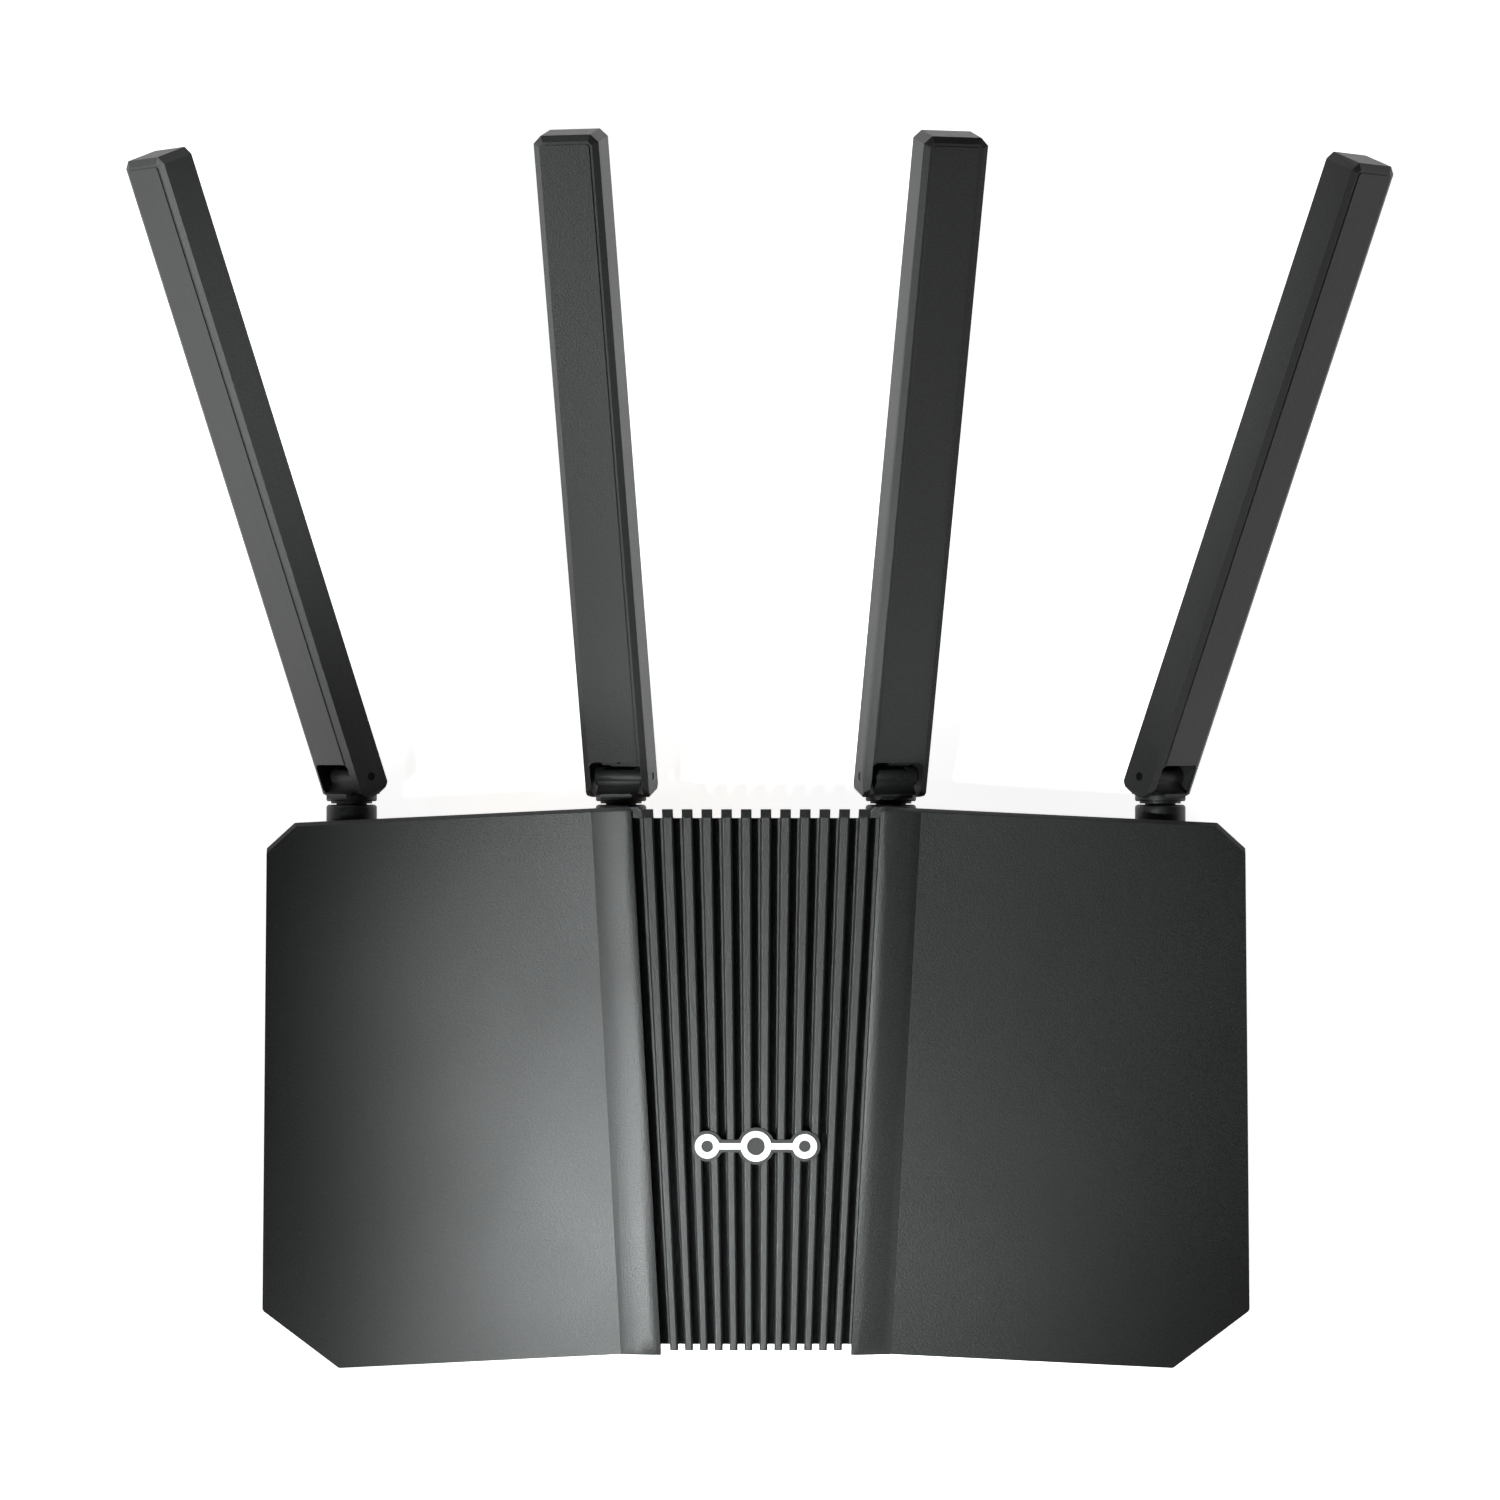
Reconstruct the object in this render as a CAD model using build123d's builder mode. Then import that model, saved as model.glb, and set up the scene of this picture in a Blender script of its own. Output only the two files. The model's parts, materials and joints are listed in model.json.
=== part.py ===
"""Wireless router with four folding antennas: housing, electronics, buttons and antenna joints (mm)."""
import os
from math import atan2, cos, radians, sin

from build123d import *

os.makedirs("parts", exist_ok=True)

# ------------------------------------------------------------------ driving dimensions
# Plan positions are (distance from the centre plane, depth). Depth runs from the rear ends
# of the centre ribs: positive towards the antennas, negative towards the front.
rear_y = -14.0
base_bottom, base_top = 1.5, 4.0
flare_top = 24.0                    # the side walls lean outwards up to here
wall = 2.2
skin = 2.2                          # wing covers, measured upright
skirt = 4.2                         # visible edge height of the wing covers
headroom = 60.0                     # taller than the whole housing
reach = 140.0                       # wider than half of the housing

base_outline = [(118.0, -5.5), (121.6, -9.4), (122.4, -127.6), (104.5, -139.5), (34.4, -135.9),
                (25.0, -135.9), (24.6, -133.6)]
top_outline = [(121.8, -5.5), (127.0, -10.2), (128.5, -130.6), (108.5, -145.5), (35.0, -141.2),
               (25.0, -141.2), (24.6, -138.9)]
wing_outline = [(32.2, 0.7), (119.7, -3.6), (127.0, -10.2), (128.5, -130.6),
                (108.5, -145.5), (35.0, -141.2), (24.6, -141.2)]
corner_radius = 1.3
cover_bevel = 1.0                   # along the rear and the channel edge of a cover

# Creases and channel edges run straight from the rear point to the front point.
crease_rear, crease_front = (42.6, -1.0), (35.0, -141.2)
edge_rear, edge_front = (32.2, -0.5), (24.6, -141.2)
crease_rear_z, crease_front_z = 38.5, 33.5
side_slope = 0.085                  # fall of the wing panels towards the sides
strip_rise = 2.4                    # rise of the rounded shoulder from crease to channel
strip_crown = 0.4
inner_wall = 1.8

# Centre channel
rib_count = 12
rib_pitch_rear, rib_pitch_front = 5.09, 3.85
rib_width_rear, rib_width_front = 2.78, 2.08
rib_below_edge = 0.6
rib_height = 5.0
rib_edge_bevel, rib_bevel_start, rib_bevel_fall = 0.4, -2.4, 1.4
floor_thickness = 2.0
rib_ends = (0.0, -140.1)
floor_ends = (-2.3, -138.9)

# Rear panel and what is on it
panel_face, panel_thickness = -5.5, 2.0
panel_half_width = 115.5
panel_y = rear_y + panel_face
board_bottom, board_top = 7.0, 8.6
jack_size = (15.9, 21.3, 13.4)
port_gap = 0.1
jack_places = {"wan_jack": 17.6, "lan_jack_1": 0.0, "lan_jack_2": -17.6,
               "lan_jack_3": -54.0, "lan_jack_4": -70.6}
usb_x, power_x, dc_x, wps_x, reset_x = 56.0, 73.5, 89.0, -85.0, -93.5
button_z = 14.5
power_travel, tact_travel = 2.5, 0.6
running_gap = 0.05                  # radial, between a shaft and its bore
moving_gap = 0.3                    # between pieces that pass each other

# Antennas: swivel about an axis along Y, then fold about the hinge pin
hinge_depth = 8.4
hinge_y, hinge_z = rear_y + hinge_depth, 18.0
# (distance from the centre plane, swivel angle, fold angle), as the antennas stand
antennas = [(-105.8, -49.8, 21.2), (-35.3, -14.8, 15.9), (35.3, 17.0, 16.6), (105.8, 46.5, 22.9)]
blade_width, blade_depth, blade_length = 17.2, 10.9, 170.3
chamfer_in, chamfer_deep = 1.6, 1.0
blade_wall = 1.4
fork_width, fork_height, fork_back = 13.8, 5.3, 1.5     # fork_back: wall left behind the barrel
ear_bevel, tip_bevel = 1.2, 2.0
barrel_length, barrel_radius = 13.0, 2.4
pin_radius = 1.1
collar_radius, neck_radius, stem_radius = 6.6, 5.4, 4.0
boss_radius, boss_depth, spigot_radius = 6.6, 1.0, 5.5


# ------------------------------------------------------------------ shared geometry
def depth(y):
    """Frame Y of a depth measured from the rear ends of the ribs."""
    return rear_y + y


def along(start, end, y):
    """Value at depth y on the straight line through (value, depth) start and end."""
    share = (y - start[1]) / (end[1] - start[1])
    return start[0] + share * (end[0] - start[0])


def crease_x(y):
    return along(crease_rear, crease_front, y)


def edge_x(y):
    return along(edge_rear, edge_front, y)


def crease_z(y):
    return along((crease_rear_z, crease_rear[1]), (crease_front_z, crease_front[1]), y)


def panel_z(x, y):
    """Top of the flat wing panels."""
    return crease_z(y) - side_slope * (x - crease_x(y))


def edge_z(y):
    return crease_z(y) + strip_rise


def rib_top(y):
    return edge_z(y) - rib_below_edge


def floor_top(y):
    return rib_top(y) - rib_height


def floor_bottom(y):
    return floor_top(y) - floor_thickness


def section(y):
    """Upright plane across the body, local x to the right and local y up."""
    return Plane(origin=(0, depth(y), 0), x_dir=(1, 0, 0), z_dir=(0, -1, 0))


def both_sides(points):
    return points + [(-x, y) for x, y in reversed(points)]


def plate(points, z, inset=0.0):
    """Level face with the given plan outline, rounded at the outer front corners."""
    with BuildSketch(Plane.XY.offset(z)) as face:
        with BuildLine():
            Polyline(*[(x, depth(y)) for x, y in points], close=True)
        make_face()
        fillet([v for v in face.vertices() if abs(v.X) > 100 and v.Y < depth(-100)], radius=corner_radius)
        if inset:
            offset(amount=-inset, kind=Kind.INTERSECTION)
    return face.sketch


def wing_section(y, drop):
    """Section of the solid under the right wing's top surface, lowered by drop."""
    crease = (crease_x(y), crease_z(y) - drop)
    edge = (edge_x(y), edge_z(y) - drop)
    crown = ((crease[0] + edge[0]) / 2, (crease[1] + edge[1]) / 2 + strip_crown)
    with BuildSketch(section(y)) as face:
        with BuildLine():
            ThreePointArc(edge, crown, crease)
            Polyline(crease, (reach, panel_z(reach, y) - drop), (reach, 0), (edge[0], 0), edge)
        make_face()
    return face.sketch


def rim_section(y, drop, strip_extra=0.0):
    """Section across the whole body under the covers and the channel floor."""
    inner = edge_x(y) + inner_wall
    right = [(reach, 0), (reach, panel_z(reach, y) - drop), (crease_x(y), crease_z(y) - drop),
             (inner, edge_z(y) - drop - strip_extra), (inner, floor_bottom(y))]
    with BuildSketch(section(y)) as face:
        with BuildLine():
            Polyline(*both_sides(right), close=True)
        make_face()
    return face.sketch


def skirt_section(y):
    """Section of what is cut from below the right cover: outside its skirt and under its inner wall."""
    inner = edge_x(y) + inner_wall
    with BuildSketch(section(y)) as face:
        with BuildLine():
            Polyline((edge_x(y) - 2, 0), (reach, 0), (reach, panel_z(reach, y) - skirt),
                     (crease_x(y), crease_z(y) - skirt), (inner, edge_z(y) - skirt),
                     (inner, floor_bottom(y)), (edge_x(y) - 2, floor_bottom(y)), close=True)
        make_face()
    return face.sketch


body_span = (8.0, -152.0)           # depths that lie outside the body at both ends


def full_length(shape, *values):
    """Straight loft of a section function over the whole depth of the body."""
    with BuildPart() as solid:
        loft([shape(y, *values) for y in body_span], ruled=True)
    return solid.part


def flared(inset=0.0):
    """Inside or outside of the lower housing: leaning walls, upright above flare_top."""
    with BuildPart() as solid:
        loft([plate(both_sides(base_outline), base_top, inset),
              plate(both_sides(top_outline), flare_top, inset)], ruled=True)
        extrude(plate(both_sides(top_outline), flare_top, inset), amount=headroom)
    return solid.part


def local(frame, plane):
    """A plane given in the coordinates of another frame."""
    return Plane(frame.location * plane.location)


def rear_top_edges(solid):
    """Top edges of the right cover from the channel round to the rear corner cut."""
    return [e for e in solid.edges() if e.center().Y > depth(-9) and e.center().Z > flare_top]


def save(part, name):
    part.label = name
    export_step(part, f"parts/{name}.step")


# ------------------------------------------------------------------ wing covers
post_places = [(106.0, -22.0), (106.0, -128.0)]
post_radius, screw_radius = 3.5, 1.45
post_plug_start, post_plug = 12.0, 4.0          # the screw hole is closed above this
under_skin = full_length(wing_section, skin)
under_skirt = full_length(skirt_section)

with BuildPart() as hollow:
    extrude(plate(wing_outline, 0, inset=inner_wall), amount=headroom)
    add(under_skin, mode=Mode.INTERSECT)

with BuildPart() as posts:
    with BuildSketch(Plane.XY.offset(base_top)):
        with Locations([(x, depth(y)) for x, y in post_places]):
            Circle(post_radius)
            Circle(screw_radius, mode=Mode.SUBTRACT)
    extrude(amount=headroom)
    add(full_length(wing_section, skin / 2), mode=Mode.INTERSECT)
    with BuildSketch(Plane.XY.offset(base_top + post_plug_start)):
        with Locations([(x, depth(y)) for x, y in post_places]):
            Circle(post_radius)
    extrude(amount=post_plug)

# block between the cover and the outer rib, at the rear end of the channel
block_inner, block_rear, block_front, block_corner = 29.7, 0.5, -2.2, 1.1

with BuildPart() as right_wing:
    extrude(plate(wing_outline, 0), amount=headroom)
    fillet(right_wing.edges().filter_by(Axis.Z).group_by(Axis.Y)[-1], radius=1.2)
    add(full_length(wing_section, 0.0), mode=Mode.INTERSECT)
    chamfer(rear_top_edges(right_wing), length=cover_bevel)
    add(hollow.part, mode=Mode.SUBTRACT)
    add(under_skirt, mode=Mode.SUBTRACT)
    add(posts.part)
    with BuildSketch(Plane.XY.offset(floor_bottom(0))):
        with BuildLine():
            Polyline((block_inner, depth(block_front)), (edge_rear[0] + 0.8, depth(block_front)),
                     (edge_rear[0] + 0.8, depth(block_rear - 1.2)), (edge_rear[0] + 0.2, depth(block_rear)),
                     (block_inner + block_corner, depth(block_rear)),
                     (block_inner, depth(block_rear - block_corner)), close=True)
        make_face()
    extrude(amount=edge_z(0) - floor_bottom(0) - 1.2)

with BuildPart() as left_wing:
    mirror(right_wing.part, about=Plane.YZ)

save(right_wing.part, "right_wing")
save(left_wing.part, "left_wing")

# ------------------------------------------------------------------ lower housing
light_pitch, light_size, light_z = 8.5, (4.0, 1.6), 17.8
light_x = [(i - 2.5) * light_pitch for i in range(6)]

with BuildPart() as lower_shell:
    add(flared())
    add(flared(wall), mode=Mode.SUBTRACT)
    add(full_length(rim_section, skirt), mode=Mode.INTERSECT)
    with BuildSketch(Plane.XY):
        with Locations((0, panel_y)):
            Rectangle(2 * panel_half_width, 2 * wall + 4)
    extrude(amount=headroom, mode=Mode.SUBTRACT)
    with BuildSketch(section(-130.0)):
        with Locations([(x, light_z) for x in light_x]):
            Rectangle(*light_size)
    extrude(amount=20, mode=Mode.SUBTRACT)

heat_sink_y = -75.0
foot_places = [(95.0, -12.0), (100.0, -115.0)]
foot_radius, foot_height, foot_recess = 6.0, 2.0, 0.5
standoff_places = [(86.0, -30.0), (86.0, -112.0)]
standoff_radius, board_screw_radius = 3.0, 1.3
keyhole_x, keyhole_y, keyhole_radius, keyhole_slot = 60.0, -80.0, 4.0, (12.0, 4.2)
vent_pitch, vent_slot, vent_counts = (6.0, 32.0), (24.0, 2.4), (11, 2)
head_radius, head_height, head_recess_radius, head_recess = 2.9, 1.1, 3.2, 1.2
cross_slot, cross_depth, screw_length, screw_gap = (3.0, 0.6), 0.5, 9.0, 0.1


def four(places):
    """Frame positions of a mirrored pair of places."""
    return [(side * x, depth(y)) for x, y in places for side in (1, -1)]


with BuildPart() as base_plate:
    extrude(plate(both_sides(base_outline), base_bottom), amount=base_top - base_bottom)
    chamfer(base_plate.faces().sort_by(Axis.Z)[0].outer_wire().edges(), length=0.8)
    with BuildSketch(Plane.XY.offset(base_bottom)):
        with Locations(four(foot_places)):
            Circle(foot_radius)
    extrude(amount=foot_recess, mode=Mode.SUBTRACT)
    with BuildSketch(Plane.XY.offset(base_bottom)):
        with Locations(four(post_places)):
            Circle(head_recess_radius)
    extrude(amount=head_recess, mode=Mode.SUBTRACT)
    with BuildSketch(Plane.XY):
        with Locations(four(post_places)):
            Circle(screw_radius)
        with Locations([(x, depth(keyhole_y)) for x in (-keyhole_x, keyhole_x)]):
            Circle(keyhole_radius)
        with Locations([(x, depth(keyhole_y + keyhole_slot[0] / 2)) for x in (-keyhole_x, keyhole_x)]):
            SlotOverall(*keyhole_slot, rotation=90)
        with Locations((0, depth(heat_sink_y))):
            with GridLocations(*vent_pitch, *vent_counts):
                SlotOverall(*vent_slot, rotation=90)
    extrude(amount=base_top + 1, mode=Mode.SUBTRACT)
    with BuildSketch(Plane.XY.offset(base_top)):
        with Locations(four(standoff_places)):
            Circle(standoff_radius)
            Circle(board_screw_radius, mode=Mode.SUBTRACT)
    extrude(amount=board_bottom - base_top)

with BuildPart() as rubber_feet:
    with BuildSketch(Plane.XY):
        with Locations(four(foot_places)):
            Circle(foot_radius)
    extrude(amount=foot_height)
    chamfer(rubber_feet.faces().filter_by(Axis.Z).sort_by(Axis.Z)[:4].edges(), length=0.4)

screw_heads = Plane.XY.offset(base_bottom + screw_gap)
with BuildPart() as housing_screws:
    with BuildSketch(screw_heads):
        with Locations(four(post_places)):
            Circle(head_radius)
    extrude(amount=head_height)
    with BuildSketch(screw_heads):
        with Locations(four(post_places)):
            Circle(screw_radius)
    extrude(amount=screw_length)
    with BuildSketch(screw_heads):
        with Locations(four(post_places)):
            Rectangle(*cross_slot)
            Rectangle(*cross_slot, rotation=90)
    extrude(amount=cross_depth, mode=Mode.SUBTRACT)

for node, name in ((lower_shell, "lower_shell"), (base_plate, "base_plate"),
                   (rubber_feet, "rubber_feet"), (housing_screws, "housing_screws")):
    save(node.part, name)


# ------------------------------------------------------------------ centre channel
def floor_section(y):
    with BuildSketch(section(y)) as face:
        with Locations((0, (floor_top(y) + floor_bottom(y)) / 2)):
            Rectangle(2 * edge_x(y), floor_thickness)
    return face.sketch


def rib_section(y, i):
    """Rib i, counted from the left, with its top corners bevelled."""
    middle = (i - (rib_count - 1) / 2) * along((rib_pitch_rear, 0), (rib_pitch_front, rib_ends[1]), y)
    half = along((rib_width_rear, 0), (rib_width_front, rib_ends[1]), y) / 2
    low, high, bevel = floor_top(y) - 1.0, rib_top(y), rib_edge_bevel
    right = [(half, low), (half, high - bevel), (half - bevel, high)]
    with BuildSketch(section(y)) as face:
        with BuildLine():
            Polyline(*[(middle + x, z) for x, z in both_sides(right)], close=True)
        make_face()
    return face.sketch


with BuildPart() as rib_grille:
    loft([floor_section(y) for y in floor_ends], ruled=True)
    for i in range(rib_count):
        loft([rib_section(y, i) for y in rib_ends], ruled=True)
    # bevel on the rear ends of the ribs
    with BuildSketch(Plane.YZ):
        with BuildLine():
            Polyline((depth(rib_bevel_start), rib_top(0) + 0.01), (depth(1), rib_top(0) + 0.01),
                     (depth(1), rib_top(0) - rib_bevel_fall), close=True)
        make_face()
    extrude(amount=reach, both=True, mode=Mode.SUBTRACT)

channel_tilt = atan2(rib_top(0) - rib_top(-100), 100)
badge_y, badge_thickness, badge_margin = -87.0, 0.6, 0.8
# badge: three linked rings, a plain network sign, on a backing of the same outline
ring_pitch, ring_radii, ring_line, emblem_height = 12.6, (3.2, 4.0, 3.2), 1.7, 0.5
badge_plane = Plane(origin=(0, depth(badge_y), rib_top(badge_y)), x_dir=(1, 0, 0),
                    z_dir=(0, -sin(channel_tilt), cos(channel_tilt)))



def ring_places():
    """Place and radius of each ring of the badge."""
    return [((i * ring_pitch, 0), radius) for i, radius in enumerate(ring_radii, -1)]


with BuildPart() as badge_plate:
    with BuildSketch(badge_plane):
        Rectangle(2 * ring_pitch, ring_line + 2 * badge_margin)
        for place, radius in ring_places():
            with Locations(place):
                Circle(radius + badge_margin)
    extrude(amount=badge_thickness)

with BuildPart() as badge_emblem:
    with BuildSketch(badge_plane.offset(badge_thickness)):
        Rectangle(2 * ring_pitch, ring_line)
        for place, radius in ring_places():
            with Locations(place):
                Circle(radius)
                Circle(radius - ring_line, mode=Mode.SUBTRACT)
    extrude(amount=emblem_height)

for node, name in ((rib_grille, "rib_grille"), (badge_plate, "badge_plate"), (badge_emblem, "badge_emblem")):
    save(node.part, name)


# ------------------------------------------------------------------ rear panel and connectors
panel_plane = Plane(origin=(0, panel_y, 0), x_dir=(-1, 0, 0), z_dir=(0, 1, 0))   # seen from the rear
usb_size, dc_size = (14.4, 17.0, 7.1), (9.0, 14.0, 11.0)
jack_mouth = [(11.8, 7.4, 0.6), (6.2, 1.8, -3.9), (3.4, 1.4, -5.2)]     # width, height, place above middle
jack_mouth_depth, usb_mouth_depth, dc_mouth_depth = 14.0, 12.0, 10.0
usb_mouth, usb_tongue, dc_mouth_radius, dc_pin_radius = (12.8, 5.3), (11.2, 1.9), 3.1, 1.0
power_cap, cap_stick_out = (8.0, 6.0), 1.5
wps_radius, reset_radius = 2.25, 0.8

with BuildPart() as port_panel:
    with BuildSketch(Plane.XY.offset(base_top)):
        with Locations((0, panel_y - panel_thickness / 2)):
            Rectangle(2 * panel_half_width, panel_thickness)
    extrude(amount=headroom)
    add(full_length(rim_section, skin, 1.6), mode=Mode.INTERSECT)
    with BuildSketch(panel_plane):
        with Locations([(-x, board_top + jack_size[2] / 2) for x in jack_places.values()]):
            Rectangle(jack_size[0] + 2 * port_gap, jack_size[2] + 2 * port_gap)
        with Locations((-usb_x, board_top + usb_size[2] / 2)):
            Rectangle(usb_size[0] + 2 * port_gap, usb_size[2] + 2 * port_gap)
        with Locations((-dc_x, board_top + dc_size[2] / 2)):
            Rectangle(dc_size[0] + 2 * port_gap, dc_size[2] + 2 * port_gap)
        with Locations((-power_x, button_z)):
            Rectangle(power_cap[0] + 2 * moving_gap, power_cap[1] + 2 * moving_gap)
        with Locations((-wps_x, button_z)):
            Circle(wps_radius + moving_gap)
        with Locations((-reset_x, button_z)):
            Circle(reset_radius + moving_gap)
        with Locations([(-x, hinge_z) for x, swivel, fold in antennas]):
            Circle(spigot_radius)
    extrude(amount=-panel_thickness, mode=Mode.SUBTRACT)
save(port_panel.part, "port_panel")


def front_of(x, z, behind=0.0):
    """Plane on the rear panel's face at x, z, looking to the rear."""
    return Plane(origin=(x, panel_y - behind, z), x_dir=(-1, 0, 0), z_dir=(0, 1, 0))


for name, x in jack_places.items():
    face = front_of(x, board_top + jack_size[2] / 2)
    with BuildPart() as jack:
        with BuildSketch(face):
            Rectangle(jack_size[0], jack_size[2])
        extrude(amount=-jack_size[1])
        with BuildSketch(face):
            for width, height, middle in jack_mouth:
                with Locations((0, middle)):
                    Rectangle(width, height)
        extrude(amount=-jack_mouth_depth, mode=Mode.SUBTRACT)
    save(jack.part, name)

with BuildPart() as usb_socket:
    face = front_of(usb_x, board_top + usb_size[2] / 2)
    with BuildSketch(face):
        Rectangle(usb_size[0], usb_size[2])
    extrude(amount=-usb_size[1])
    with BuildSketch(face):
        Rectangle(*usb_mouth)
    extrude(amount=-usb_mouth_depth, mode=Mode.SUBTRACT)
    with BuildSketch(face.offset(-usb_mouth_depth)):
        with Locations((0, 1.4)):
            Rectangle(*usb_tongue)
    extrude(amount=usb_mouth_depth - 1.5)
save(usb_socket.part, "usb_socket")

dc_face = front_of(dc_x, board_top + dc_size[2] / 2)
with BuildPart() as dc_socket:
    with BuildSketch(dc_face):
        Rectangle(dc_size[0], dc_size[2])
    extrude(amount=-dc_size[1])
    with BuildSketch(dc_face):
        Circle(dc_mouth_radius)
    extrude(amount=-dc_mouth_depth, mode=Mode.SUBTRACT)
save(dc_socket.part, "dc_socket")

with BuildPart() as dc_pin:
    with BuildSketch(dc_face.offset(-dc_mouth_depth)):
        Circle(dc_pin_radius)
    extrude(amount=dc_mouth_depth - 1.0)
save(dc_pin.part, "dc_pin")


# ------------------------------------------------------------------ buttons and their switches
flange_gap, flange_thickness, flange_margin = 0.3, 0.8, 1.2
behind_panel = panel_thickness + flange_gap
power_switch_size, tact_switch_size = (10.0, 15.0), (6.2, 5.0)
power_face = front_of(power_x, button_z)
power_switch_front = behind_panel + flange_thickness + power_travel + 0.8
power_stem = (1.5, 9.0)             # radius, length inside the switch

with BuildPart() as power_button:
    with BuildSketch(power_face.offset(cap_stick_out)):
        RectangleRounded(*power_cap, 1.0)
    extrude(amount=-(cap_stick_out + behind_panel))
    chamfer(power_button.faces().sort_by(Axis.Y)[-1].edges(), length=0.4)
    with BuildSketch(power_face.offset(-behind_panel)):
        Rectangle(power_cap[0] + 2 * flange_margin, power_cap[1] + 2 * flange_margin)
    extrude(amount=-flange_thickness)
    with BuildSketch(power_face.offset(-behind_panel)):
        Circle(power_stem[0])
    extrude(amount=-(power_switch_front - behind_panel + power_stem[1]))

with BuildPart() as power_switch:
    with BuildSketch(Plane.XY.offset(board_top)):
        with Locations((power_x, panel_y - power_switch_front)):
            Rectangle(*power_switch_size, align=(Align.CENTER, Align.MAX))
    extrude(amount=button_z - board_top + 3.5)
    with BuildSketch(power_face.offset(-power_switch_front)):
        Circle(power_stem[0] + running_gap)
    extrude(amount=-(power_stem[1] + power_travel + 1.0), mode=Mode.SUBTRACT)

tact_front = behind_panel + flange_thickness + tact_travel + 0.6
tact_stem = (1.0, 2.5)


def small_button(x, radius, end):
    """Round button whose outer end stands out of the panel by end, with flange and stem."""
    face = front_of(x, button_z)
    with BuildPart() as button:
        with BuildSketch(face.offset(end)):
            Circle(radius)
        extrude(amount=-(end + behind_panel))
        chamfer(button.faces().sort_by(Axis.Y)[-1].edges(), length=0.25)
        with BuildSketch(face.offset(-behind_panel)):
            Circle(radius + flange_margin)
        extrude(amount=-flange_thickness)
        with BuildSketch(face.offset(-behind_panel)):
            Circle(tact_stem[0])
        extrude(amount=-(tact_front - behind_panel + tact_stem[1]))
    return button.part


wps_button = small_button(wps_x, wps_radius, 0.8)
reset_button = small_button(reset_x, reset_radius, -0.7)

with BuildPart() as tact_switches:
    with BuildSketch(Plane.XY.offset(board_top)):
        with Locations([(x, panel_y - tact_front) for x in (wps_x, reset_x)]):
            Rectangle(*tact_switch_size, align=(Align.CENTER, Align.MAX))
    extrude(amount=button_z - board_top + tact_switch_size[0] / 2)
    for x in (wps_x, reset_x):
        with BuildSketch(front_of(x, button_z, tact_front)):
            Circle(tact_stem[0] + running_gap)
        extrude(amount=-(tact_stem[1] + tact_travel + 0.6), mode=Mode.SUBTRACT)

for part, name in ((power_button.part, "power_button"), (power_switch.part, "power_switch"),
                   (wps_button, "wps_button"), (reset_button, "reset_button"),
                   (tact_switches.part, "tact_switches")):
    save(part, name)


# ------------------------------------------------------------------ main board
board_half_width, board_rear, board_front = 97.0, -8.0, -118.0
tongue_half_width, tongue_front = 40.0, -130.0
chip_places = [(0.0, -62.0), (0.0, -88.0)]
chip_size, pad_size = (17.0, 17.0, 1.2), (15.0, 15.0, 0.5)
shield_places, shield_size = [(62.0, -66.0), (-62.0, -66.0)], (38.0, 30.0, 3.0)
board_screw_head, board_screw_length = (2.5, 1.5), 4.2
sink_size, fin_pitch, fin_count, fin_width, fin_height = (46.0, 56.0, 2.0), 5.0, 10, 1.0, 6.0

with BuildPart() as main_board:
    with BuildSketch(Plane.XY.offset(board_bottom)):
        with BuildLine():
            Polyline(*both_sides([(board_half_width, depth(board_rear)),
                                  (board_half_width, depth(board_front)),
                                  (tongue_half_width, depth(board_front)),
                                  (tongue_half_width, depth(tongue_front))]), close=True)
        make_face()
        with Locations(four(standoff_places)):
            Circle(board_screw_radius, mode=Mode.SUBTRACT)
    extrude(amount=board_top - board_bottom)

with BuildPart() as board_screws:
    with BuildSketch(Plane.XY.offset(board_top)):
        with Locations(four(standoff_places)):
            Circle(board_screw_head[0])
    extrude(amount=board_screw_head[1])
    with BuildSketch(Plane.XY.offset(board_top)):
        with Locations(four(standoff_places)):
            Circle(board_screw_radius)
    extrude(amount=-board_screw_length)

with BuildPart() as processor_chips:
    with BuildSketch(Plane.XY.offset(board_top)):
        with Locations([(x, depth(y)) for x, y in chip_places]):
            Rectangle(*chip_size[:2])
    extrude(amount=chip_size[2])

pad_bottom = board_top + chip_size[2]
with BuildPart() as thermal_pads:
    with BuildSketch(Plane.XY.offset(pad_bottom)):
        with Locations([(x, depth(y)) for x, y in chip_places]):
            Rectangle(*pad_size[:2])
    extrude(amount=pad_size[2])

sink_bottom = pad_bottom + pad_size[2]

with BuildPart() as heat_sink:
    with BuildSketch(Plane.XY.offset(sink_bottom)):
        with Locations((0, depth(heat_sink_y))):
            Rectangle(*sink_size[:2])
    extrude(amount=sink_size[2])
    with BuildSketch(Plane.XY.offset(sink_bottom + sink_size[2])):
        with Locations((0, depth(heat_sink_y))):
            with GridLocations(fin_pitch, 1, fin_count, 1):
                Rectangle(fin_width, sink_size[1])
    extrude(amount=fin_height)

with BuildPart() as radio_shields:
    with BuildSketch(Plane.XY.offset(board_top)):
        with Locations([(x, depth(y)) for x, y in shield_places]):
            Rectangle(*shield_size[:2])
    extrude(amount=shield_size[2])

led_size, led_y, pipe_reach = (3.0, 2.4, 1.4), -127.0, 10.4
led_top = board_top + led_size[2]
with BuildPart() as status_lights:
    with BuildSketch(Plane.XY.offset(board_top)):
        with Locations([(x, depth(led_y)) for x in light_x]):
            Rectangle(*led_size[:2])
    extrude(amount=led_size[2])

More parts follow.
